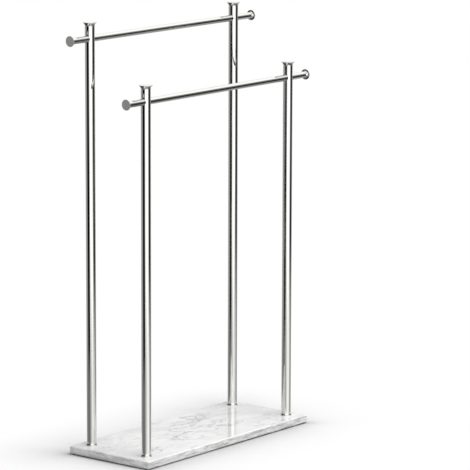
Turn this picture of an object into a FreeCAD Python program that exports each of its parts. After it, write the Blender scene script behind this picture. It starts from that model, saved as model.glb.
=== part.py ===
import FreeCAD, Part
import math
import os
from types import SimpleNamespace
import Sketcher

# Freestanding towel stand.  A marble slab carries four round posts, which make two frames: a low
# one at the front and a tall one at the back.  Each frame holds one bar, which runs through both of
# its posts and ends in a flared disc at either side.  Nothing on the stand moves.
# Millimetres.  X runs along the bars, Y from the front to the back, and Z up.  The origin is on the
# floor, below the middle of the slab.

DRIVING_SIZES = [
    ("base_length", 502.0, "slab, along the bars"),
    ("base_depth", 202.0, "slab, front to back"),
    ("base_thickness", 16.0, "slab"),
    ("base_bevel", 2.0, "bevel on every edge of the slab"),
    ("pad_diameter", 12.0, "rubber pad under a corner of the slab"),
    ("pad_height", 1.5, "rubber pad under a corner of the slab"),
    ("pad_bevel", 0.5, "bevel on the pad's lower edge"),
    ("pad_inset", 8.0, "each edge of the slab to the pad's middle"),
    ("front_height", 742.0, "floor to the top of the front frame"),
    ("back_height", 851.0, "floor to the top of the back frame"),
    ("post_diameter", 19.0, "tube of the post, outside"),
    ("post_wall", 1.2, "tube of the post"),
    ("post_inset_x", 31.0, "short edge of the slab to the post's axis"),
    ("post_inset_y", 31.0, "long edge of the slab to the post's axis"),
    ("cap_spread", 4.1, "the cap's rim stands out past the post by this"),
    ("cap_flare", 7.0, "height of the cap's hollow flare"),
    ("cap_rim", 0.7, "height of the cap's rim"),
    ("cap_spigot_gap", 4.0, "clear height between the cap's spigot and the bar"),
    ("collar_spread", 1.6, "the foot collar stands out past the post by this"),
    ("collar_flare", 4.2, "height of the collar's hollow flare"),
    ("collar_rim", 1.0, "height of the collar's lower rim"),
    ("collar_lip", 0.3, "wall of the collar at its top"),
    ("rim_round", 0.4, "rounding on the rims of caps and bar ends"),
    ("bar_diameter", 12.7, "tube of the bar, outside"),
    ("bar_wall", 1.0, "tube of the bar"),
    ("bar_drop", 32.0, "top of a frame to its bar's axis"),
    ("bar_overhang", 58.0, "post's axis to the outer face of the bar's end"),
    ("end_spread", 4.15, "the end disc stands out past the bar by this"),
    ("end_flare", 2.2, "depth of the hollow flare and sloping back behind the end disc's rim"),
    ("end_sweep_out", 1.5, "how far the end's hollow flare opens before its sloping back"),
    ("end_sweep_along", 1.7, "length of the end's hollow flare along the bar"),
    ("end_rim", 1.2, "thickness of the end disc's rim"),
    ("end_spigot", 12.0, "length of the end's spigot inside the bar"),
    ("bolt_diameter", 8.0, "bolt up into the post"),
    ("bolt_engagement", 16.0, "length of bolt inside the foot plug"),
    ("bolt_tip_bevel", 0.8, "bevel on the bolt's tip"),
    ("head_diameter", 14.0, "head of the bolt"),
    ("head_height", 4.4, "head of the bolt"),
    ("head_round", 1.6, "rounding on the bolt's head"),
    ("socket_across", 5.0, "hexagon socket in the bolt's head, across flats"),
    ("socket_depth", 2.6, "hexagon socket in the bolt's head"),
    ("washer_diameter", 16.0, "washer under the bolt's head"),
    ("washer_thickness", 1.6, "washer under the bolt's head"),
    ("recess_depth", 7.6, "recess in the slab's underside for head and washer"),
    ("recess_room", 1.0, "clear width round the washer in its recess"),
    ("bolt_room", 0.5, "clear width round the bolt in the slab"),
    ("washer_room", 0.2, "clear width round the bolt in its washer"),
    ("plug_length", 20.0, "threaded plug in the foot of the post"),
    ("grub_diameter", 4.0, "grub screw that holds the bar in the post"),
    ("grub_proud", 0.85, "the grub screw stands out of the post by this"),
    ("grub_bevel", 0.4, "bevel on the grub screw's tip"),
    ("grub_across", 2.0, "hexagon socket in the grub screw, across flats"),
    ("grub_socket", 1.6, "depth of the grub screw's socket"),
    ("fit_gap", 0.05, "clear width in a thread or a driven fit"),
    ("slide_gap", 0.1, "clear width where one tube or spigot slides in another piece"),
]

SIDES = {"left": -1, "right": 1}
STRAIGHT = "straight edge"
LEVEL_WITH_START = "arc whose centre is level with its start"
LEVEL_WITH_END = "arc whose centre is level with its end"
HEX_SIDES = 6
HEX_TURN = 15.0  # degrees, so that no corner of a hexagon lies on an axis of its sketch
UP = FreeCAD.Vector(0, 0, 1)
TO_BACK = FreeCAD.Vector(0, 1, 0)
NO_TURN = FreeCAD.Rotation()


# ---- sizes ---------------------------------------------------------------------------------------

class Length:
    """A length that knows its value now and the expression that it follows."""

    def __init__(self, value, text):
        self.value = value
        self.text = text

    def __add__(self, other):
        return joined(self, "+", other)

    def __sub__(self, other):
        return joined(self, "-", other)

    def __mul__(self, other):
        return joined(self, "*", other)

    def __truediv__(self, other):
        return joined(self, "/", other)


def as_length(item):
    """A Length as it is, or a plain number as a Length that never changes."""
    if isinstance(item, Length):
        return item
    return Length(float(item), f"({float(item)})")


def joined(first, sign, second):
    """Two lengths joined by one sign of arithmetic."""
    second = as_length(second)
    values = {
        "+": lambda: first.value + second.value,
        "-": lambda: first.value - second.value,
        "*": lambda: first.value * second.value,
        "/": lambda: first.value / second.value,
    }
    return Length(values[sign](), f"({first.text} {sign} {second.text})")


def fill_sheet(document):
    """Put the driving sizes in the sheet, and return them by name."""
    sheet = document.addObject("Spreadsheet::Sheet", "Sizes")
    for row, (name, value, meaning) in enumerate(DRIVING_SIZES, start=1):
        sheet.set(f"A{row}", name)
        sheet.set(f"B{row}", str(value))
        sheet.set(f"C{row}", meaning)
        sheet.setAlias(f"B{row}", name)
    document.recompute()
    return SimpleNamespace(**{
        name: Length(float(getattr(sheet, name)), f"Sizes.{name}") for name, _, _ in DRIVING_SIZES
    })


# ---- sketches and features -----------------------------------------------------------------------

def new_sketch(body, plane, lift=None):
    """A sketch on one of the body's own planes, lifted off it by a length where one is given."""
    sketch = body.newObject("Sketcher::SketchObject", f"{body.Name}_sketch")
    support = next(item for item in body.Origin.OriginFeatures if item.Role == plane)
    sketch.AttachmentSupport = [(support, "")]
    sketch.MapMode = "FlatFace"
    if lift is not None:
        sketch.setExpression("AttachmentOffset.Base.z", lift.text)
    return sketch


def fix_point(sketch, edge, end, x, y):
    """Hold one point of an edge at x and y; a plain 0 puts it on the axis itself."""
    for kind, place, axis in (("DistanceX", x, -2), ("DistanceY", y, -1)):
        if not isinstance(place, Length) and place == 0:
            sketch.addConstraint(Sketcher.Constraint("PointOnObject", edge, end, axis))
            continue
        place = as_length(place)
        held = sketch.addConstraint(Sketcher.Constraint(kind, -1, 1, edge, end, place.value))
        sketch.setExpression(f"Constraints[{held}]", place.text)


def draw_circle(sketch, radius, x=0, y=0):
    """A circle of this radius round the point x, y."""
    middle = FreeCAD.Vector(as_length(x).value, as_length(y).value, 0)
    edge = sketch.addGeometry(Part.Circle(middle, UP, radius.value))
    held = sketch.addConstraint(Sketcher.Constraint("Radius", edge, radius.value))
    sketch.setExpression(f"Constraints[{held}]", radius.text)
    fix_point(sketch, edge, 3, x, y)


def add_arc(sketch, start, end, bend):
    """An arc from start to end, and the numbers that the sketch gives to those two ends."""
    level, other = (start, end) if bend == LEVEL_WITH_START else (end, start)
    rise = other.y - level.y
    run = other.x - level.x
    radius = (run * run + rise * rise) / (2 * run)
    middle = FreeCAD.Vector(level.x + radius, level.y, 0)
    turns_left = (start - middle).cross(end - middle).z > 0
    first, last = (start, end) if turns_left else (end, start)
    angles = [math.atan2(point.y - middle.y, point.x - middle.x) for point in (first, last)]
    if angles[1] < angles[0]:
        angles[1] += 2 * math.pi
    circle = Part.Circle(middle, UP, abs(radius))
    edge = sketch.addGeometry(Part.ArcOfCircle(circle, angles[0], angles[1]))
    return (edge, 1, 2) if turns_left else (edge, 2, 1)


def draw_outline(sketch, corners):
    """A closed outline.  Each corner is x, y and how the edge that leaves it runs."""
    points = [FreeCAD.Vector(as_length(x).value, as_length(y).value, 0) for x, y, _ in corners]
    edges = []
    for index, (_, _, bend) in enumerate(corners):
        start = points[index]
        end = points[(index + 1) % len(points)]
        if bend == STRAIGHT:
            edges.append((sketch.addGeometry(Part.LineSegment(start, end)), 1, 2))
        else:
            edges.append(add_arc(sketch, start, end, bend))
    for index, (x, y, bend) in enumerate(corners):
        edge, start, end = edges[index]
        last_edge, _, last_end = edges[index - 1]
        sketch.addConstraint(Sketcher.Constraint("Coincident", last_edge, last_end, edge, start))
        fix_point(sketch, edge, start, x, y)
        if bend != STRAIGHT:
            level = start if bend == LEVEL_WITH_START else end
            sketch.addConstraint(Sketcher.Constraint("Horizontal", edge, 3, edge, level))


def draw_hexagon(sketch, across):
    """A hexagon round the origin, this wide across its flats."""
    reach = across / math.sqrt(3)
    corners = []
    for step in range(HEX_SIDES):
        angle = math.radians(HEX_TURN + 360 / HEX_SIDES * step)
        corners.append((reach * math.cos(angle), reach * math.sin(angle), STRAIGHT))
    draw_outline(sketch, corners)


def pad(body, sketch, height, side="One side"):
    """Raise the sketch to a solid of this height."""
    feature = body.newObject("PartDesign::Pad", f"{body.Name}_pad")
    feature.Profile = sketch
    feature.SideType = side
    feature.setExpression("Length", height.text)
    return feature


def turn(body, sketch):
    """Turn the sketch about its upright axis to a round solid."""
    feature = body.newObject("PartDesign::Revolution", f"{body.Name}_turned")
    feature.Profile = sketch
    feature.ReferenceAxis = (sketch, ["V_Axis"])
    feature.Angle = 360


def cut(body, sketch, depth=None, side="One side", along_normal=False):
    """Cut the sketch out of the body, to a depth or right through, and see that it did cut."""
    document.recompute()
    volume = body.Shape.Volume
    feature = body.newObject("PartDesign::Pocket", f"{body.Name}_cut")
    feature.Profile = sketch
    feature.SideType = side
    feature.Reversed = along_normal
    if depth is None:
        feature.Type = "ThroughAll"
        if side == "Symmetric":
            feature.Type2 = "ThroughAll"
    else:
        feature.setExpression("Length", depth.text)
    document.recompute()
    if body.Shape.Volume >= volume:
        raise RuntimeError(f"{feature.Name} cuts nothing")


def new_body(name):
    """An empty body, whose label is the name of its sub-part."""
    return document.addObject("PartDesign::Body", name)


def place(body, x, y, z, turned=NO_TURN):
    """Put a finished body at x, y, z."""
    at = [as_length(item) for item in (x, y, z)]
    body.Placement = FreeCAD.Placement(FreeCAD.Vector(*[item.value for item in at]), turned)
    for axis, item in zip("xyz", at):
        body.setExpression(f"Placement.Base.{axis}", item.text)


# ---- sub-parts -----------------------------------------------------------------------------------

def marble_base():
    """The slab, bevelled all round, with a stepped hole below each post for its bolt."""
    body = new_body("marble_base")
    outline = new_sketch(body, "XY_Plane")
    half_length = size.base_length / 2
    half_depth = size.base_depth / 2
    draw_outline(outline, [
        (half_length * -1, half_depth * -1, STRAIGHT),
        (half_length, half_depth * -1, STRAIGHT),
        (half_length, half_depth, STRAIGHT),
        (half_length * -1, half_depth, STRAIGHT),
    ])
    slab = pad(body, outline, size.base_thickness)
    document.recompute()
    bevel = body.newObject("PartDesign::Chamfer", "marble_base_bevel")
    bevel.Base = (slab, [f"Edge{number}" for number, _ in enumerate(slab.Shape.Edges, start=1)])
    bevel.setExpression("Size", size.base_bevel.text)
    shank_holes = new_sketch(body, "XY_Plane")
    recesses = new_sketch(body, "XY_Plane")
    for side in SIDES.values():
        for row in ROWS.values():
            at = (post_x * side, post_y * row.sign)
            draw_circle(shank_holes, size.bolt_diameter / 2 + size.bolt_room, *at)
            draw_circle(recesses, size.washer_diameter / 2 + size.recess_room, *at)
    cut(body, shank_holes, along_normal=True)
    cut(body, recesses, size.recess_depth, along_normal=True)
    place(body, 0, 0, slab_bottom)


def foot_pad(name, x, y):
    """A round rubber pad stuck under a corner of the slab; the stand rests on four."""
    body = new_body(name)
    outline = new_sketch(body, "XZ_Plane")
    radius = size.pad_diameter / 2
    draw_outline(outline, [
        (0, 0, STRAIGHT),
        (radius - size.pad_bevel, 0, STRAIGHT),
        (radius, size.pad_bevel, STRAIGHT),
        (radius, size.pad_height, STRAIGHT),
        (0, size.pad_height, STRAIGHT),
    ])
    turn(body, outline)
    place(body, x, y, 0)


def post(name, x, y, height):
    """A tube that stands on the slab, with a cross hole for the bar and a small one behind it."""
    body = new_body(name)
    ring = new_sketch(body, "XY_Plane")
    draw_circle(ring, post_radius)
    draw_circle(ring, post_bore_radius)
    pad(body, ring, height - cap_height - slab_top)
    bar_level = height - size.bar_drop - slab_top
    bar_hole = new_sketch(body, "YZ_Plane")
    draw_circle(bar_hole, bar_radius + size.slide_gap, 0, bar_level)
    cut(body, bar_hole, side="Symmetric")
    grub_hole = new_sketch(body, "XZ_Plane")
    draw_circle(grub_hole, size.grub_diameter / 2 + size.fit_gap, 0, bar_level)
    cut(body, grub_hole)
    place(body, x, y, slab_top)


def flared_end(name, tube_radius, spigot_radius, spigot_length, spread, flare, rim, back=()):
    """A plug for a tube's end: a spigot inside, and outside it a hollow flare to a flat disc.

    back is the corner between the hollow flare and a straight slope out to the disc's rim.
    """
    body = new_body(name)
    outline = new_sketch(body, "XZ_Plane")
    disc_radius = tube_radius + spread
    height = flare + rim
    draw_outline(outline, [
        (0, spigot_length * -1, STRAIGHT),
        (spigot_radius, spigot_length * -1, STRAIGHT),
        (spigot_radius, 0, STRAIGHT),
        (tube_radius, 0, LEVEL_WITH_START),
        *back,
        (disc_radius, flare, STRAIGHT),
        (disc_radius, height - size.rim_round, LEVEL_WITH_START),
        (disc_radius - size.rim_round, height, STRAIGHT),
        (0, height, STRAIGHT),
    ])
    turn(body, outline)
    return body


def post_cap(name, x, y, height):
    """The trumpet-shaped cap on a post's upper end."""
    spigot_length = size.bar_drop - cap_height - bar_radius - size.cap_spigot_gap
    body = flared_end(name, post_radius, post_bore_radius - size.slide_gap, spigot_length,
                      size.cap_spread, size.cap_flare, size.cap_rim)
    place(body, x, y, height - cap_height)


def foot_collar(name, x, y):
    """The flared ring that slides down the post and covers where it meets the slab."""
    body = new_body(name)
    outline = new_sketch(body, "XZ_Plane")
    inner_radius = post_radius + size.slide_gap
    outer_radius = post_radius + size.collar_spread
    height = size.collar_rim + size.collar_flare
    draw_outline(outline, [
        (inner_radius, 0, STRAIGHT),
        (outer_radius, 0, STRAIGHT),
        (outer_radius, size.collar_rim, LEVEL_WITH_END),
        (inner_radius + size.collar_lip, height, STRAIGHT),
        (inner_radius, height, STRAIGHT),
    ])
    turn(body, outline)
    place(body, x, y, slab_top)


def foot_plug(name, x, y):
    """The threaded plug fixed inside the post's foot, which the bolt screws into."""
    body = new_body(name)
    ring = new_sketch(body, "XY_Plane")
    draw_circle(ring, post_bore_radius - size.fit_gap)
    draw_circle(ring, size.bolt_diameter / 2 + size.fit_gap)
    pad(body, ring, size.plug_length)
    place(body, x, y, slab_top)


def base_bolt(name, x, y):
    """The bolt that comes up through the slab, with its round head and hexagon socket below."""
    body = new_body(name)
    outline = new_sketch(body, "XZ_Plane")
    shank_radius = size.bolt_diameter / 2
    head_radius = size.head_diameter / 2
    shank_length = slab_top - washer_bottom + size.bolt_engagement
    draw_outline(outline, [
        (0, size.head_height * -1, STRAIGHT),
        (head_radius - size.head_round, size.head_height * -1, LEVEL_WITH_END),
        (head_radius, size.head_round - size.head_height, STRAIGHT),
        (head_radius, 0, STRAIGHT),
        (shank_radius, 0, STRAIGHT),
        (shank_radius, shank_length - size.bolt_tip_bevel, STRAIGHT),
        (shank_radius - size.bolt_tip_bevel, shank_length, STRAIGHT),
        (0, shank_length, STRAIGHT),
    ])
    turn(body, outline)
    socket = new_sketch(body, "XY_Plane", lift=size.head_height * -1)
    draw_hexagon(socket, size.socket_across)
    cut(body, socket, size.socket_depth, along_normal=True)
    place(body, x, y, washer_bottom)


def base_washer(name, x, y):
    """The washer between the bolt's head and the marble."""
    body = new_body(name)
    ring = new_sketch(body, "XY_Plane")
    draw_circle(ring, size.washer_diameter / 2)
    draw_circle(ring, size.bolt_diameter / 2 + size.washer_room)
    pad(body, ring, size.washer_thickness)
    place(body, x, y, washer_bottom)


def towel_bar(name, y, height):
    """The tube that runs through both posts of a frame and out past them."""
    body = new_body(name)
    ring = new_sketch(body, "YZ_Plane")
    draw_circle(ring, bar_radius)
    draw_circle(ring, bar_bore_radius)
    pad(body, ring, bar_tube_end * 2, side="Symmetric")
    place(body, 0, y, height - size.bar_drop)


def bar_end(name, side, y, height):
    """The flared disc that closes a bar's end."""
    slope_start = (bar_radius + size.end_sweep_out, size.end_sweep_along, STRAIGHT)
    body = flared_end(name, bar_radius, bar_bore_radius - size.slide_gap, size.end_spigot,
                      size.end_spread, size.end_flare, size.end_rim, back=[slope_start])
    outwards = FreeCAD.Rotation(UP, FreeCAD.Vector(side, 0, 0))
    place(body, bar_tube_end * side, y, height - size.bar_drop, outwards)


def grub_screw(name, x, y, height):
    """The small screw that comes in from behind through the post and bears on the bar."""
    body = new_body(name)
    outline = new_sketch(body, "XZ_Plane")
    radius = size.grub_diameter / 2
    tip = bar_radius + size.fit_gap
    length = post_radius + size.grub_proud - tip
    draw_outline(outline, [
        (0, 0, STRAIGHT),
        (radius - size.grub_bevel, 0, STRAIGHT),
        (radius, size.grub_bevel, STRAIGHT),
        (radius, length, STRAIGHT),
        (0, length, STRAIGHT),
    ])
    turn(body, outline)
    socket = new_sketch(body, "XY_Plane", lift=length)
    draw_hexagon(socket, size.grub_across)
    cut(body, socket, size.grub_socket)
    place(body, x, y + tip, height - size.bar_drop, FreeCAD.Rotation(UP, TO_BACK))


# ---- the stand -----------------------------------------------------------------------------------

document = FreeCAD.newDocument("towel_stand")
size = fill_sheet(document)

post_radius = size.post_diameter / 2
post_bore_radius = post_radius - size.post_wall
bar_radius = size.bar_diameter / 2
bar_bore_radius = bar_radius - size.bar_wall
cap_height = size.cap_flare + size.cap_rim
slab_bottom = size.pad_height
slab_top = slab_bottom + size.base_thickness
washer_bottom = slab_bottom + size.recess_depth - size.washer_thickness
post_x = size.base_length / 2 - size.post_inset_x
post_y = size.base_depth / 2 - size.post_inset_y
pad_x = size.base_length / 2 - size.pad_inset
pad_y = size.base_depth / 2 - size.pad_inset
bar_tube_end = post_x + size.bar_overhang - size.end_rim - size.end_flare

ROWS = {
    "front": SimpleNamespace(sign=-1, height=size.front_height),
    "back": SimpleNamespace(sign=1, height=size.back_height),
}

marble_base()
for row_name, row in ROWS.items():
    row_y = post_y * row.sign
    towel_bar(f"towel_bar_{row_name}", row_y, row.height)
    for side_name, side in SIDES.items():
        where = f"{row_name}_{side_name}"
        column_x = post_x * side
        foot_pad(f"foot_pad_{where}", pad_x * side, pad_y * row.sign)
        base_bolt(f"base_bolt_{where}", column_x, row_y)
        base_washer(f"base_washer_{where}", column_x, row_y)
        foot_plug(f"foot_plug_{where}", column_x, row_y)
        foot_collar(f"foot_collar_{where}", column_x, row_y)
        post(f"post_{where}", column_x, row_y, row.height)
        post_cap(f"post_cap_{where}", column_x, row_y, row.height)
        grub_screw(f"grub_screw_{where}", column_x, row_y, row.height)
        bar_end(f"bar_end_{where}", side, row_y, row.height)

document.recompute()
for item in document.Objects:
    if "Invalid" in item.State or "Error" in item.State:
        raise RuntimeError(f"{item.Name} failed: {item.State}")

os.makedirs("parts", exist_ok=True)
for body in document.findObjects("PartDesign::Body"):
    shape = body.Shape
    if shape.isNull() or not shape.isValid() or len(shape.Solids) != 1:
        raise RuntimeError(f"{body.Label} is not one valid solid")
    shape.exportStep(os.path.join("parts", f"{body.Label}.step"))
    print(f"{body.Label}: {shape.Volume:.1f} cubic millimetres")
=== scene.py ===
import math
import bmesh
import bpy
from mathutils import Matrix, Vector


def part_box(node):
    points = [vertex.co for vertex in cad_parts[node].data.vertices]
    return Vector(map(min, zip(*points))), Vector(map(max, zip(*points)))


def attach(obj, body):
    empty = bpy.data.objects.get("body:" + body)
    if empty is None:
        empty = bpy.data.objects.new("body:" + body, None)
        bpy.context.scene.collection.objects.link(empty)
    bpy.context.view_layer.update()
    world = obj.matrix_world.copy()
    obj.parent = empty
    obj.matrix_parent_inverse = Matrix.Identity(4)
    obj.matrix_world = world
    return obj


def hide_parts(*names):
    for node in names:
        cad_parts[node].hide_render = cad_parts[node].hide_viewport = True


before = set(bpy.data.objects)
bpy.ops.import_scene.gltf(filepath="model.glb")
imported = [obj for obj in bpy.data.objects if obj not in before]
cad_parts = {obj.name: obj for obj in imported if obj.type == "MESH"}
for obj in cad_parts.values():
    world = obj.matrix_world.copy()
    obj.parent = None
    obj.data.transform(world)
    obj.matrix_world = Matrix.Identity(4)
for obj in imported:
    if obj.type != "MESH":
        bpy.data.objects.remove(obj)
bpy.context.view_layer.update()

# Freestanding towel stand: chromed tube frames on a polished marble slab.
# Metres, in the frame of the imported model: X runs along the bars, Y to the back and Z up.

MM = 0.001
ROWS = ("front", "back")
SIDES = {"left": -1, "right": 1}

# Sizes that the nodes' boxes don't tell, as the maker's drawing has them.  A room is the clear
# width round what goes into a hole.
POST_WALL = 1.2 * MM
BAR_WALL = 1.0 * MM
CAP_RIM = 0.7 * MM
END_RIM = 1.2 * MM
END_SWEEP_OUT = 1.5 * MM
END_SWEEP_ALONG = 1.7 * MM
RIM_ROUND = 0.4 * MM
COLLAR_RIM = 1.0 * MM
COLLAR_LIP = 0.3 * MM
BAR_ROOM = 0.1 * MM
SPIGOT_ROOM = 0.1 * MM
GRUB_ROOM = 0.05 * MM
SLAB_BEVEL = 2.0 * MM
# Only the slab's sides show the stone's layers, which fade out between these heights. These layers and
# the heavier streaks there are partly the stone's bedding and partly painted shade, keeping the sides
# darker than the top.
BEDDING_FULL = 15.4 * MM
BEDDING_START = 16.6 * MM
RECESS_ROOM = 1.0 * MM
# The bolt's hole through the slab is half as wide as the post's plug.
BORE_SHARE = 0.5
PAD_BEVEL = 0.5 * MM

# How finely the pieces are made.
ROUND_STEPS = 96
FLARE_STEPS = 14
ROUND_SEGMENTS = 3
BURNISHED = 0.12 * MM
STONE_ARRIS = 0.25 * MM
EDGE_PROFILE = 0.5
SHARP_ANGLE = math.radians(35)
WELD = 1e-7
LONG_DRILL = 1.0


# ---- shader nodes --------------------------------------------------------------------------------

class Number:
    """A socket that carries a number, so that sums of sockets are written as Python."""

    def __init__(self, nodes, socket):
        self.nodes = nodes
        self.socket = socket

    def __add__(self, other):
        return self.nodes.maths("ADD", self, other)

    def __sub__(self, other):
        return self.nodes.maths("SUBTRACT", self, other)

    def __rsub__(self, other):
        return self.nodes.maths("SUBTRACT", other, self)

    def __mul__(self, other):
        return self.nodes.maths("MULTIPLY", self, other)

    def __abs__(self):
        return self.nodes.maths("ABSOLUTE", self)

    __radd__ = __add__
    __rmul__ = __mul__


class Nodes:
    """The nodes of one material, or of the world."""

    def __init__(self, owner):
        owner.use_nodes = True
        self.tree = owner.node_tree
        self.tree.nodes.clear()

    def add(self, kind, settings=None, inputs=None):
        """One node: first its settings, then a value or a link for each of its inputs."""
        node = self.tree.nodes.new(kind)
        for name, value in (settings or {}).items():
            if name == "stops":
                fill_ramp(node.color_ramp, value)
            else:
                setattr(node, name, value)
        for key, value in (inputs or {}).items():
            self.feed(node.inputs[key], value)
        return node

    def feed(self, socket, value):
        """Link a socket, or set it to a value."""
        if isinstance(value, Number):
            value = value.socket
        if isinstance(value, bpy.types.NodeSocket):
            self.tree.links.new(value, socket)
        else:
            socket.default_value = value

    def maths(self, operation, *values):
        node = self.add("ShaderNodeMath", {"operation": operation}, dict(enumerate(values)))
        return Number(self, node.outputs[0])

    def vector(self, operation, *values):
        node = self.add("ShaderNodeVectorMath", {"operation": operation}, dict(enumerate(values)))
        return node.outputs[0]

    def length(self, vector):
        node = self.add("ShaderNodeVectorMath", {"operation": "LENGTH"}, {0: vector})
        return Number(self, node.outputs[1])

    def step(self, value, low, high, start=0.0, end=1.0):
        """A number that goes smoothly from start to end while value goes from low to high."""
        node = self.add("ShaderNodeMapRange", {"interpolation_type": "SMOOTHSTEP"}, {
            "Value": value, "From Min": low, "From Max": high, "To Min": start, "To Max": end})
        return Number(self, node.outputs[0])

    def mix(self, share, first, second):
        """The first colour, and the second one where share is 1."""
        node = self.add("ShaderNodeMix", {"data_type": "RGBA"}, {0: share, 6: first, 7: second})
        return node.outputs[2]

    def noise(self, place, scale, detail=2.0, roughness=0.5):
        return self.add("ShaderNodeTexNoise", None, {
            "Vector": place, "Scale": scale, "Detail": detail, "Roughness": roughness})

    def grain(self, place, scale, detail=2.0, roughness=0.5):
        """Noise as a number, about 0.5."""
        return Number(self, self.noise(place, scale, detail, roughness).outputs[0])

    def patches(self, place, fineness, detail, roughness, start, full):
        """Soft patches: 0 where the noise is under start, and 1 where it is over full."""
        return self.step(self.grain(place, fineness, detail, roughness), start, full)

    def object_place(self):
        return self.add("ShaderNodeTexCoord").outputs["Object"]

    def laid(self, place, location, rotation, scale):
        """The place moved, turned and stretched, which lays a pattern across the piece."""
        return self.add("ShaderNodeMapping", None, {
            "Vector": place, "Location": location, "Rotation": rotation, "Scale": scale}).outputs[0]

    def part(self, place, axis):
        """One of the three numbers of a place: 0 for X, 1 for Y and 2 for Z."""
        return Number(self, self.add("ShaderNodeSeparateXYZ", None, {0: place}).outputs[axis])

    def relief(self, height, strength, depth):
        """The normal of a surface with this relief."""
        return self.add("ShaderNodeBump", None, {
            "Strength": strength, "Distance": depth, "Height": height}).outputs["Normal"]

    def ray_is(self, *kinds):
        """1 for rays of these kinds, as Light Path names them."""
        path = self.add("ShaderNodeLightPath")
        total = Number(self, path.outputs[kinds[0]])
        for kind in kinds[1:]:
            total = total + Number(self, path.outputs[kind])
        return self.maths("MINIMUM", total, 1.0)

    def surface(self, shader):
        self.add("ShaderNodeOutputMaterial", None, {"Surface": shader})

    def finish(self, inputs):
        """The principled surface with these values and links."""
        self.surface(self.add("ShaderNodeBsdfPrincipled", None, inputs).outputs[0])


def fill_ramp(ramp, stops):
    """Give a colour ramp its stops, each a position and a grey or a colour."""
    while len(ramp.elements) > 1:
        ramp.elements.remove(ramp.elements[-1])
    for index, (position, tone) in enumerate(stops):
        stop = ramp.elements[0] if index == 0 else ramp.elements.new(position)
        stop.position = position
        stop.color = tone if isinstance(tone, tuple) else (tone, tone, tone, 1.0)


def grey(tone):
    return (tone, tone, tone, 1.0)


def new_material(name):
    material = bpy.data.materials.new(name)
    return material, Nodes(material)


# ---- finishes ------------------------------------------------------------------------------------

CHROME = (0.84, 0.838, 0.815, 1.0)
HAZED_CHROME = (0.80, 0.798, 0.775, 1.0)
CHROME_ROUGHNESS = 0.018
HAZE_ROUGHNESS = 0.022
# Patches, here and below: how fine the noise is, its detail and roughness, and between which
# values of it they rise to their full strength.
SMEARS = (38.0, 4.0, 0.55, 0.52, 0.78)

STONE_WHITE = (0.98, 0.98, 0.975, 1.0)
CLOUD_GREY = (0.74, 0.745, 0.75, 1.0)
STREAK_GREY = (0.55, 0.56, 0.57, 1.0)
LAYER_AND_SHADE_GREY = (0.50, 0.50, 0.485, 1.0)
SOFT_VEIN_GREY = (0.58, 0.59, 0.60, 1.0)
THIN_VEIN_GREY = (0.30, 0.31, 0.32, 1.0)
FINE_VEIN_GREY = (0.34, 0.35, 0.35, 1.0)
# How strongly each shows where it is strongest.
CLOUD_SHARE = 0.40
STREAK_SHARE = 0.25
SIDE_STREAK_AND_SHADE_SHARE = 0.35
LAYER_AND_SHADE_SHARE = 0.72
SOFT_VEIN_SHARE = 0.30
THIN_VEIN_SHARE = 0.55
FINE_VEIN_SHARE = 0.60
CLOUDS = (9.0, 8.0, 0.64, 0.42, 0.72)
STREAKS = (34.0, 7.0, 0.68, 0.48, 0.72)
LAYERS = (60.0, 6.0, 0.62, 0.42, 0.60)
THIN_VEINS_SHOW = (6.0, 3.0, 0.5, 0.44, 0.58)
FINE_VEINS_SHOW = (11.0, 3.0, 0.5, 0.46, 0.60)
# How fine the veins' net is, how wide its lines are, and how far they wander.
SOFT_VEINS = (4.2, 0.085, 0.14)
THIN_VEINS = (9.5, 0.026, 0.12)
FINE_VEINS = (26.0, 0.022, 0.07)
VEIN_DETAIL = 2.0
VEIN_ROUGHNESS = 0.45
SWIRL_FINER = 1.7
SWIRL_DETAIL = 6.0
SWIRL_ROUGHNESS = 0.66
# How each pattern lies in the stone: its place, its turn and its stretch.
VEINS_LIE = ((1.13, 0.25, 0.40), (0.35, 0.2, 0.55), (0.85, 1.45, 1.4))
STREAKS_LIE = ((0.4, 0.2, 0.1), (0.5, 0.9, 0.35), (0.5, 1.6, 1.6))
LAYERS_LIE = ((0.2, 0.5, 0.3), (0.14, 0.16, 0.0), (0.45, 0.45, 3.2))
POLISH_ROUGHNESS = 0.05
POLISH_WAVER = 0.03
WAVER_FINENESS = 160.0
WAVER_DETAIL = 3.0
STONE_IOR = 1.52

ZINC_DARK = (0.56, 0.58, 0.61, 1.0)
ZINC_PALE = (0.68, 0.69, 0.70, 1.0)
OXIDE_BLACK = (0.035, 0.035, 0.04, 1.0)
OXIDE_WORN = (0.11, 0.11, 0.115, 1.0)
RUBBER_BLACK = (0.022, 0.022, 0.023, 1.0)
RUBBER_GREY = (0.045, 0.045, 0.047, 1.0)
# The fineness, detail and roughness of the zinc's spangle and of the rubber's moulded grain.
SPANGLE = (700.0, 3.0, 0.6)
SPANGLE_DEPTH = 0.05 * MM
MOULDED_GRAIN = (1500.0, 3.0, 0.6)
GRAIN_DEPTH = 0.04 * MM
WEAR = (1100.0, 4.0, 0.65, 0.5, 0.75)


def polished_chrome():
    """Bright chrome on steel tube, with a faint haze where hands and cloths have rubbed it."""
    material, nodes = new_material("polished_chrome")
    haze = nodes.patches(nodes.object_place(), *SMEARS)
    nodes.finish({
        "Base Color": nodes.mix(haze, CHROME, HAZED_CHROME),
        "Metallic": 1.0,
        "Roughness": CHROME_ROUGHNESS + haze * HAZE_ROUGHNESS})
    return material


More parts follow.
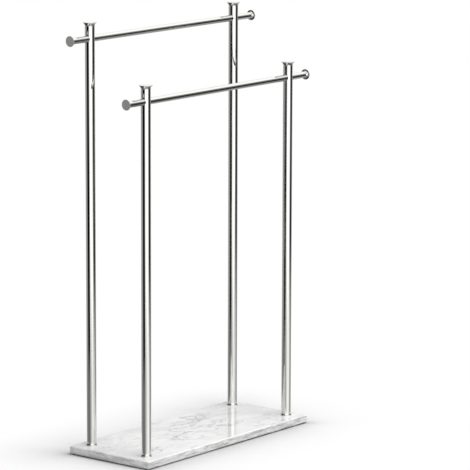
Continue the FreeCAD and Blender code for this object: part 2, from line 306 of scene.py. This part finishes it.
def vein_lines(nodes, place, scale, width, wander):
    """Thin wandering lines, 1 on a vein and 0 beside it."""
    swirl = nodes.noise(place, scale * SWIRL_FINER, SWIRL_DETAIL, SWIRL_ROUGHNESS).outputs[1]
    push = nodes.vector("SUBTRACT", swirl, (0.5, 0.5, 0.5))
    bent = nodes.vector("ADD", place, nodes.vector("MULTIPLY", push, (wander, wander, wander)))
    field = nodes.grain(bent, scale, VEIN_DETAIL, VEIN_ROUGHNESS)
    return 1.0 - nodes.step(abs(field - 0.5), 0.0, width)


def polished_marble():
    """White marble with grey clouds and streaks, soft main veins and thin broken ones."""
    material, nodes = new_material("polished_marble")
    place = nodes.object_place()
    along = nodes.laid(place, *VEINS_LIE)
    clouds = nodes.patches(along, *CLOUDS)
    streaks = nodes.patches(nodes.laid(place, *STREAKS_LIE), *STREAKS)
    layers = nodes.patches(nodes.laid(place, *LAYERS_LIE), *LAYERS)
    on_sides = nodes.step(nodes.part(place, 2), BEDDING_FULL, BEDDING_START, 1.0, 0.0)
    soft = vein_lines(nodes, along, *SOFT_VEINS)
    thin = vein_lines(nodes, along, *THIN_VEINS)
    fine = vein_lines(nodes, along, *FINE_VEINS)
    thin_here = nodes.patches(along, *THIN_VEINS_SHOW)
    fine_here = nodes.patches(along, *FINE_VEINS_SHOW)
    stone = nodes.mix(clouds * CLOUD_SHARE, STONE_WHITE, CLOUD_GREY)
    # Painted shade in part: the heavier streaks and the layers low on the slab darken its sides below
    # the top's tone, besides showing the bedding.
    stone = nodes.mix(streaks * (STREAK_SHARE + on_sides * SIDE_STREAK_AND_SHADE_SHARE), stone, STREAK_GREY)
    stone = nodes.mix(on_sides * (layers * LAYER_AND_SHADE_SHARE), stone, LAYER_AND_SHADE_GREY)
    stone = nodes.mix(soft * SOFT_VEIN_SHARE, stone, SOFT_VEIN_GREY)
    stone = nodes.mix(thin * thin_here * THIN_VEIN_SHARE, stone, THIN_VEIN_GREY)
    stone = nodes.mix(fine * fine_here * FINE_VEIN_SHARE, stone, FINE_VEIN_GREY)
    waver = (soft + nodes.grain(place, WAVER_FINENESS, WAVER_DETAIL)) * POLISH_WAVER
    nodes.finish({"Base Color": stone, "Roughness": POLISH_ROUGHNESS + waver, "IOR": STONE_IOR})
    return material


def zinc_plate():
    """Pale zinc with the spangle of a barrel-plated fastener."""
    material, nodes = new_material("zinc_plate")
    spangle = nodes.grain(nodes.object_place(), *SPANGLE)
    nodes.finish({
        "Base Color": nodes.mix(nodes.step(spangle, 0.35, 0.7), ZINC_DARK, ZINC_PALE),
        "Metallic": 1.0,
        "Roughness": 0.26 + spangle * 0.14,
        "Normal": nodes.relief(spangle, 0.15, SPANGLE_DEPTH)})
    return material


def black_oxide():
    """The oiled black of a small grub screw, worn a little."""
    material, nodes = new_material("black_oxide")
    wear = nodes.patches(nodes.object_place(), *WEAR)
    nodes.finish({
        "Base Color": nodes.mix(wear, OXIDE_BLACK, OXIDE_WORN),
        "Metallic": 0.7,
        "Roughness": 0.34 + wear * 0.14})
    return material


def pad_rubber():
    """Matt black rubber with a fine moulded grain."""
    material, nodes = new_material("pad_rubber")
    grain = nodes.grain(nodes.object_place(), *MOULDED_GRAIN)
    nodes.finish({
        "Base Color": nodes.mix(grain, RUBBER_BLACK, RUBBER_GREY),
        "Roughness": 0.72 + grain * 0.12,
        "Normal": nodes.relief(grain, 0.3, GRAIN_DEPTH)})
    return material


# ---- pieces --------------------------------------------------------------------------------------

def turned(outline, closed=False):
    """A round solid about Z, from an outline of radius and height."""
    mesh = bmesh.new()
    corners = [mesh.verts.new((radius, 0, height)) for radius, height in outline]
    nexts = corners[1:] + (corners[:1] if closed else [])
    edges = [mesh.edges.new(pair) for pair in zip(corners, nexts)]
    bmesh.ops.spin(mesh, geom=corners + edges, axis=(0, 0, 1), cent=(0, 0, 0), angle=2 * math.pi,
                   steps=ROUND_STEPS, use_merge=True)
    bmesh.ops.remove_doubles(mesh, verts=mesh.verts, dist=WELD)
    bmesh.ops.recalc_face_normals(mesh, faces=mesh.faces)
    return mesh


def rod(radius, low, high):
    """A solid rod about Z between two heights."""
    return turned([(0, low), (radius, low), (radius, high), (0, high)])


def tube(outer, wall, low, high):
    """A tube about Z between two heights."""
    return turned([(outer, low), (outer, high), (outer - wall, high), (outer - wall, low)], closed=True)


def soften(mesh, width):
    """Round every sharp edge by this width."""
    sharp = [edge for edge in mesh.edges
             if len(edge.link_faces) == 2 and edge.calc_face_angle() > SHARP_ANGLE]
    bmesh.ops.bevel(mesh, geom=sharp, offset=width, segments=ROUND_SEGMENTS, profile=EDGE_PROFILE,
                    affect="EDGES", material=-1, clamp_overlap=True)


def flare(start_radius, end_radius, start, end):
    """The hollow sweep of a trumpet: it leaves the tube in line with it and opens outwards."""
    run = end_radius - start_radius
    rise = end - start
    sweep = (run * run + rise * rise) / (2 * run)
    turn = math.asin(min(1.0, abs(rise) / sweep))
    steps = [turn * step / FLARE_STEPS for step in range(FLARE_STEPS + 1)]
    sign = math.copysign(1, rise)
    return [(start_radius + sweep * (1 - math.cos(angle)), start + sign * sweep * math.sin(angle))
            for angle in steps]


def rounded_corner(radius, height, room):
    """The outline's way round the upper corner of a rim."""
    steps = [math.pi / 2 * step / ROUND_SEGMENTS for step in range(ROUND_SEGMENTS + 1)]
    return [(radius - room + room * math.cos(angle), height - room + room * math.sin(angle))
            for angle in steps]


def flared_plug(sweep, disc_radius, height, rim, spigot_radius, spigot_length):
    """A plug for a tube's end: spigot, hollow flare, rim and flat face, upwards from 0."""
    return turned([(0, -spigot_length), (spigot_radius, -spigot_length), (spigot_radius, 0)]
                  + sweep + [(disc_radius, height - rim)]
                  + rounded_corner(disc_radius, height, RIM_ROUND)
                  + [(0, height)])


def finished(name, mesh, material, node):
    """Make the mesh the piece that stands for a node, with its shading kept even across edges."""
    for face in mesh.faces:
        face.smooth = True
    for edge in mesh.edges:
        edge.smooth = len(edge.link_faces) == 2 and edge.calc_face_angle() < SHARP_ANGLE
    data = bpy.data.meshes.new(name)
    mesh.to_mesh(data)
    mesh.free()
    data.materials.append(material)
    piece = bpy.data.objects.new(name, data)
    bpy.context.scene.collection.objects.link(piece)
    even = piece.modifiers.new("even_shading", "WEIGHTED_NORMAL")
    even.keep_sharp = True
    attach(piece, "root")
    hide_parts(node)


def drilled(mesh, drill):
    """The mesh with the drill's shape taken out of it."""
    objects = []
    for name, part in (("blank", mesh), ("drill", drill)):
        data = bpy.data.meshes.new(name)
        part.to_mesh(data)
        part.free()
        objects.append(bpy.data.objects.new(name, data))
        bpy.context.scene.collection.objects.link(objects[-1])
    blank, bit = objects
    cut = blank.modifiers.new("cut", "BOOLEAN")
    cut.operation = "DIFFERENCE"
    cut.solver = "EXACT"
    cut.object = bit
    seen = blank.evaluated_get(bpy.context.evaluated_depsgraph_get())
    result = bmesh.new()
    result.from_mesh(seen.to_mesh())
    for item in objects:
        data = item.data
        bpy.data.objects.remove(item)
        bpy.data.meshes.remove(data)
    return result


def moved(mesh, matrix):
    """The mesh, brought to its place."""
    bmesh.ops.transform(mesh, matrix=matrix, verts=mesh.verts)
    return mesh


def middle(node):
    low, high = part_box(node)
    return (low + high) / 2


def radius(node, axis="y"):
    """Half a round node's width across this axis."""
    low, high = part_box(node)
    return (getattr(high, axis) - getattr(low, axis)) / 2


def heights(node):
    low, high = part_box(node)
    return low.z, high.z


ALONG_X = Matrix.Rotation(math.pi / 2, 4, "Y")
TO_BACK = Matrix.Rotation(-math.pi / 2, 4, "X")


def at(point, turned_by=None):
    """The transform that brings a piece from the origin to a point."""
    move = Matrix.Translation(point)
    return move if turned_by is None else move @ turned_by


def chrome_post(where, row, chrome):
    """The post's tube, with the hole that the bar runs through and the grub screw's hole."""
    node = f"post_{where}"
    low, high = heights(node)
    bar = f"towel_bar_{row}"
    grub = f"grub_screw_{where}"
    centre = middle(node)
    level = Vector((centre.x, centre.y, middle(bar).z))
    blank = moved(tube(radius(node), POST_WALL, low, high), at((centre.x, centre.y, 0)))
    soften(blank, BURNISHED)
    bar_drill = rod(radius(bar) + BAR_ROOM, -LONG_DRILL, LONG_DRILL)
    blank = drilled(blank, moved(bar_drill, at(level, ALONG_X)))
    grub_drill = rod(radius(grub, "x") + GRUB_ROOM, 0, LONG_DRILL)
    blank = drilled(blank, moved(grub_drill, at(level, TO_BACK)))
    finished(f"chrome_post_{where}", blank, chrome, node)


def chrome_cap(where, chrome):
    """The trumpet-shaped plug in a post's top."""
    node = f"post_cap_{where}"
    post = f"post_{where}"
    low, high = heights(node)
    base = heights(post)[1]
    centre = middle(node)
    sweep = flare(radius(post), radius(node), 0, high - base - CAP_RIM)[:-1]
    plug = flared_plug(sweep, radius(node), high - base, CAP_RIM,
                       radius(post) - POST_WALL - SPIGOT_ROOM, base - low)
    soften(plug, BURNISHED)
    moved(plug, at((centre.x, centre.y, base)))
    finished(f"chrome_cap_{where}", plug, chrome, node)


def chrome_collar(where, chrome):
    """The slim flared ring round a post's foot."""
    node = f"foot_collar_{where}"
    low, high = heights(node)
    centre = middle(node)
    bore = radius(f"post_{where}") + SPIGOT_ROOM
    outline = [(bore, low), (radius(node), low)]
    outline += flare(bore + COLLAR_LIP, radius(node), high, low + COLLAR_RIM)[::-1]
    outline += [(bore, high)]
    ring = turned(outline, closed=True)
    soften(ring, BURNISHED)
    moved(ring, at((centre.x, centre.y, 0)))
    finished(f"chrome_collar_{where}", ring, chrome, node)


def chrome_bar(row, chrome):
    """The towel bar's tube."""
    node = f"towel_bar_{row}"
    low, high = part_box(node)
    length = high.x - low.x
    bar = tube(radius(node), BAR_WALL, -length / 2, length / 2)
    soften(bar, BURNISHED)
    moved(bar, at(middle(node), ALONG_X))
    finished(f"chrome_bar_{row}", bar, chrome, node)


def chrome_bar_end(where, row, side, chrome):
    """The disc that closes a bar's end, almost flat behind, on a small sweep and a spigot."""
    node = f"bar_end_{where}"
    bar = f"towel_bar_{row}"
    bar_end = max(abs(corner.x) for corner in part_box(bar))
    inner, outer = sorted(abs(corner.x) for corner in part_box(node))
    sweep = flare(radius(bar), radius(bar) + END_SWEEP_OUT, 0, END_SWEEP_ALONG)
    plug = flared_plug(sweep, radius(node), outer - bar_end, END_RIM,
                       radius(bar) - BAR_WALL - SPIGOT_ROOM, bar_end - inner)
    soften(plug, BURNISHED)
    centre = middle(node)
    outwards = Matrix.Rotation(side * math.pi / 2, 4, "Y")
    moved(plug, at((side * bar_end, centre.y, centre.z), outwards))
    finished(f"chrome_bar_end_{where}", plug, chrome, node)


def marble_slab(marble):
    """The slab, bevelled and polished, with a stepped hole below each post."""
    node = "marble_base"
    low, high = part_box(node)
    slab = bmesh.new()
    bmesh.ops.create_cube(slab, size=1.0)
    bmesh.ops.scale(slab, vec=high - low, verts=slab.verts)
    bmesh.ops.translate(slab, vec=middle(node), verts=slab.verts)
    bmesh.ops.bevel(slab, geom=slab.edges[:], offset=SLAB_BEVEL, segments=1, profile=EDGE_PROFILE,
                    affect="EDGES", material=-1)
    bmesh.ops.bevel(slab, geom=slab.edges[:], offset=STONE_ARRIS, segments=2, profile=EDGE_PROFILE,
                    affect="EDGES", material=-1)
    for row in ROWS:
        for side_name in SIDES:
            where = f"{row}_{side_name}"
            centre = middle(f"post_{where}")
            seat = heights(f"base_washer_{where}")[1]
            recess = radius(f"base_washer_{where}") + RECESS_ROOM
            bolt_bore = radius(f"foot_plug_{where}") * BORE_SHARE
            drill = turned([(0, -LONG_DRILL), (recess, -LONG_DRILL), (recess, seat),
                            (bolt_bore, seat), (bolt_bore, LONG_DRILL), (0, LONG_DRILL)])
            slab = drilled(slab, moved(drill, at((centre.x, centre.y, 0))))
    finished("marble_slab", slab, marble, node)


def rubber_pad(where, rubber):
    """One of the four pads that the slab lies on."""
    node = f"foot_pad_{where}"
    low, high = heights(node)
    centre = middle(node)
    edge = radius(node)
    pad = turned([(0, low), (edge - PAD_BEVEL, low), (edge, low + PAD_BEVEL), (edge, high), (0, high)])
    soften(pad, BURNISHED)
    moved(pad, at((centre.x, centre.y, 0)))
    finished(f"rubber_pad_{where}", pad, rubber, node)


def refinish(node, material):
    """Give a CAD node its finish."""
    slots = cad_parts[node].data.materials
    slots.clear()
    slots.append(material)


# ---- studio --------------------------------------------------------------------------------------

# Where the camera stands, as fitted to the photograph's edges, and how it looks.
CAMERA_PLACE = (-5.0776, -4.1680, 1.6330)
CAMERA_YAW = math.radians(51.381)
CAMERA_PITCH = math.radians(10.519)
CAMERA_ROLL = math.radians(0.167)
FOCAL_PIXELS = 3382.1
FRAME_PIXELS = 470
SENSOR = 36.0
CAMERA_SIGHT = 100.0

# What polished metal sees round the stand, as tones by compass angle from +X.  Walls: a white
# screen in front, a black flag to its left and another to its right, and greys behind.
WALLS = (
    (-170, 0.0), (-165, 0.20), (-159, 0.70), (-151, 0.90), (-144, 1.35), (-128, 1.50), (-100, 1.50),
    (-91, 0.85), (-78, 0.60), (-71, 0.15), (-65, 0.0), (-30, 0.0), (-25, 0.15), (-12, 0.30),
    (0, 0.35), (8, 0.20), (22, 0.20), (62, 0.40), (80, 0.75), (92, 0.40), (136, 0.30), (143, 0.22),
    (147, 0.0),
)
# The same screens just above eye level, with a pale panel behind the stand.
SCREENS = (
    (-180, 0.05), (-168, 0.10), (-158, 1.35), (-100, 1.35), (-86, 0.90), (-70, 0.30), (-52, 0.15),
    (-34, 0.15), (-8, 0.50), (15, 1.00), (50, 1.00), (75, 0.60), (92, 0.10), (104, 0.05),
)
# A little higher, where the slab's polish looks.
RISES = (
    (-180, 0.05), (-168, 0.10), (-158, 1.35), (-100, 1.35), (-86, 0.90), (-70, 0.40), (-46, 0.25),
    (-28, 0.25), (-8, 0.45), (15, 0.70), (50, 0.70), (75, 0.55), (92, 0.10), (104, 0.05),
)
# High up.
SKY = (
    (-180, 0.40), (-150, 0.60), (-110, 0.90), (-70, 1.20), (40, 1.15), (70, 1.00), (92, 0.55),
    (140, 0.40),
)
# The floor close by, seen at a low angle.
FLOOR_AROUND = (
    (-180, 0.20), (-163, 0.35), (-120, 0.90), (-100, 1.10), (-86, 1.10), (-59, 0.60), (-43, 0.35),
    (-23, 0.30), (0, 0.40), (80, 0.50), (114, 0.25), (165, 0.15), (180, 0.20),
)
# The floor close by, seen from steeply above: painted light, tones that the floor glows with in metal's
# mirror instead of its lit paint.
FLOOR_BELOW = (
    (-180, 0.10), (-155, 0.40), (-115, 0.40), (-75, 0.10), (-38, 0.13), (-26, 0.20), (-5, 0.45),
    (8, 0.50), (24, 0.40), (42, 0.25), (60, 0.10), (75, 0.05),
)
# How far from the metal, in metres, the floor still shows in it.
FLOOR_REACH = (
    (-180, 1.1), (-165, 1.2), (-145, 2.9), (-120, 2.3), (0, 2.2), (60, 1.6), (140, 1.1),
)


def rise(degrees):
    """The Z of a direction this many degrees above the horizon."""
    return math.sin(math.radians(degrees))


# The heights between which one list gives way to the next.
FLOOR_TONES_FULL = rise(-44)
FLOOR_TONES_START = rise(-30)
WALLS_END = rise(-6)
SCREENS_FULL = rise(3)
SCREENS_END = rise(9)
RISES_FULL = rise(12)
RISES_END = rise(17)
SKY_FULL = rise(32)
SKY_END = rise(48)
ZENITH_FULL = rise(60)
ZENITH_TONE = 1.20
# The even light on the object, and its one soft lamp.
SKY_LIGHT = 0.30
LAMP_COMPASS = -92
LAMP_HEIGHT = 68
LAMP_DISTANCE = 4.0
LAMP_WIDTH = 3.2
LAMP_BRIGHTNESS = 0.92
# The floor's paint, and a shade painted into it close round the slab, longer in front.
FLOOR_SIZE = 30.0
FLOOR_TONE = 0.97
FLOOR_SHADE = 0.48
SHADE_REACH = 0.03
FRONT_SHADE_REACH = 0.05
FRONT_SHADE_START = 0.02
FRONT_SHADE_FADE = 0.08
# Where the floor has run out into the white background.
FLOOR_FAR = 0.22
# How metal sees the floor: steeply, or at a low angle with its mirror image bent upwards.
STEEP_END = 0.50
STEEP_START = 0.70
FLOOR_REACH_START = 0.5
FLOOR_BEND = 1.5


def compass(nodes, place, stops):
    """The tone that a list of compass angles gives in the direction of a point."""
    angle = nodes.maths("ARCTAN2", nodes.part(place, 1), nodes.part(place, 0))
    turn = angle * (0.5 / math.pi) + 0.5
    ramp = nodes.add("ShaderNodeValToRGB", {
        "stops": [((degrees + 180) / 360, tone) for degrees, tone in stops]}, {0: turn})
    return ramp.outputs[0]


def studio_world():
    """White behind the stand, soft walls and flags for metal to mirror, and even light from above."""
    world = bpy.data.worlds.new("studio")
    bpy.context.scene.world = world
    nodes = Nodes(world)
    towards = nodes.add("ShaderNodeTexCoord").outputs["Generated"]
    height = nodes.part(towards, 2)
    below = nodes.step(height, FLOOR_TONES_FULL, FLOOR_TONES_START, 1.0, 0.0)
    around = nodes.mix(below, compass(nodes, towards, WALLS), compass(nodes, towards, FLOOR_AROUND))
    for start, end, stops in ((WALLS_END, SCREENS_FULL, SCREENS), (SCREENS_END, RISES_FULL, RISES),
                              (RISES_END, SKY_FULL, SKY)):
        around = nodes.mix(nodes.step(height, start, end), around, compass(nodes, towards, stops))
    around = nodes.mix(nodes.step(height, SKY_END, ZENITH_FULL), around, grey(ZENITH_TONE))
    tone = nodes.mix(nodes.ray_is("Is Camera Ray", "Is Transmission Ray"), grey(SKY_LIGHT), grey(1.0))
    tone = nodes.mix(nodes.ray_is("Is Glossy Ray"), tone, around)
    background = nodes.add("ShaderNodeBackground", None, {"Color": tone, "Strength": 1.0})
    nodes.add("ShaderNodeOutputWorld", None, {"Surface": background.outputs[0]})


def floor_paint():
    """Pale floor that takes the stand's shadow, with painted shade close round the slab, and runs out
    into the white background.
    """
    material, nodes = new_material("floor_paint")
    place = nodes.object_place()
    low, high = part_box("marble_base")
    past_edge = nodes.vector("SUBTRACT", nodes.vector("ABSOLUTE", place), (high.x, high.y, 0.0))
    from_slab = nodes.length(nodes.vector("MAXIMUM", past_edge, (0.0, 0.0, 0.0)))
    # Painted shade: the floor's colour darkens close round the slab, and further out in front of it.
    before_slab = nodes.step(nodes.part(place, 1), low.y, low.y - FRONT_SHADE_START)
    left_of_end = nodes.step(nodes.part(place, 0), high.x, high.x - FRONT_SHADE_FADE)
    reach = SHADE_REACH + before_slab * left_of_end * (FRONT_SHADE_REACH - SHADE_REACH)
    spread = 1.0 + nodes.maths("DIVIDE", from_slab, reach)
    shade = nodes.maths("DIVIDE", FLOOR_SHADE, spread * spread)
    tone = nodes.mix(shade, grey(FLOOR_TONE), grey(0.0))
    paint = nodes.add("ShaderNodeBsdfDiffuse", None, {"Color": tone}).outputs[0]
    white = nodes.add("ShaderNodeEmission", None, {"Color": grey(1.0), "Strength": 1.0}).outputs[0]
    seen_directly = nodes.ray_is("Is Camera Ray", "Is Transmission Ray")
    away = nodes.step(from_slab, 0.0, FLOOR_FAR) * seen_directly
    seen = nodes.add("ShaderNodeMixShader", None, {0: away, 1: paint, 2: white}).outputs[0]

    facing = Number(nodes, nodes.add("ShaderNodeLayerWeight", None, {"Blend": 0.5}).outputs["Facing"])
    steep = nodes.step(facing, STEEP_END, STEEP_START, 1.0, 0.0)
    # Painted light: seen steeply in metal, the floor glows with these tones instead of showing its lit
    # paint.
    under = compass(nodes, place, FLOOR_BELOW)
    below = nodes.add("ShaderNodeEmission", None, {"Color": under}).outputs[0]
    open_air = nodes.add("ShaderNodeBsdfTransparent").outputs[0]
    bent = nodes.add("ShaderNodeBsdfRefraction", None, {"Roughness": 0.0, "IOR": FLOOR_BEND}).outputs[0]
    run = nodes.add("ShaderNodeLightPath").outputs["Ray Length"]
    near = nodes.step(run, FLOOR_REACH_START, compass(nodes, place, FLOOR_REACH), 1.0, 0.0)
    around = nodes.add("ShaderNodeMixShader", None, {0: near, 1: open_air, 2: bent}).outputs[0]
    mirrored = nodes.add("ShaderNodeMixShader", None, {0: steep, 1: around, 2: below}).outputs[0]
    nodes.surface(nodes.add("ShaderNodeMixShader", None, {
        0: nodes.ray_is("Is Glossy Ray"), 1: seen, 2: mirrored}).outputs[0])
    return material


def studio_floor():
    """One large level floor, which is no part of the stand."""
    mesh = bmesh.new()
    bmesh.ops.create_grid(mesh, x_segments=1, y_segments=1, size=FLOOR_SIZE / 2)
    data = bpy.data.meshes.new("floor")
    mesh.to_mesh(data)
    mesh.free()
    data.materials.append(floor_paint())
    floor = bpy.data.objects.new("floor", data)
    bpy.context.scene.collection.objects.link(floor)


def studio_lamp():
    """A large softbox high over the front edge.  Metal mirrors the studio's screens instead of it."""
    light = bpy.data.lights.new("overhead_softbox", "AREA")
    light.shape = "SQUARE"
    light.size = LAMP_WIDTH
    light.energy = LAMP_BRIGHTNESS * (math.pi * LAMP_DISTANCE) ** 2
    lamp = bpy.data.objects.new("overhead_softbox", light)
    turn, tilt = math.radians(LAMP_COMPASS), math.radians(LAMP_HEIGHT)
    towards = Vector((math.cos(tilt) * math.cos(turn), math.cos(tilt) * math.sin(turn), math.sin(tilt)))
    lamp.location = towards * LAMP_DISTANCE
    lamp.rotation_euler = towards.to_track_quat("Z", "Y").to_euler()
    lamp.visible_glossy = False
    bpy.context.scene.collection.objects.link(lamp)


def studio_camera():
    """The camera, where the photograph was taken from."""
    data = bpy.data.cameras.new("camera")
    data.sensor_width = SENSOR
    data.lens = FOCAL_PIXELS / FRAME_PIXELS * SENSOR
    data.clip_end = CAMERA_SIGHT
    camera = bpy.data.objects.new("camera", data)
    turn = (Matrix.Rotation(-CAMERA_YAW, 4, "Z") @ Matrix.Rotation(math.pi / 2 - CAMERA_PITCH, 4, "X")
            @ Matrix.Rotation(CAMERA_ROLL, 4, "Z"))
    camera.matrix_world = Matrix.Translation(CAMERA_PLACE) @ turn
    bpy.context.scene.collection.objects.link(camera)
    bpy.context.scene.camera = camera


# ---- the stand in its studio ---------------------------------------------------------------------

chrome = polished_chrome()
marble = polished_marble()
zinc = zinc_plate()
oxide = black_oxide()
rubber = pad_rubber()

marble_slab(marble)
for row in ROWS:
    chrome_bar(row, chrome)
    for side_name, side in SIDES.items():
        where = f"{row}_{side_name}"
        chrome_post(where, row, chrome)
        chrome_cap(where, chrome)
        chrome_collar(where, chrome)
        chrome_bar_end(where, row, side, chrome)
        rubber_pad(where, rubber)
        refinish(f"foot_plug_{where}", zinc)
        refinish(f"base_bolt_{where}", zinc)
        refinish(f"base_washer_{where}", zinc)
        refinish(f"grub_screw_{where}", oxide)

studio_world()
studio_floor()
studio_lamp()
studio_camera()
bpy.context.scene.view_settings.view_transform = "Standard"
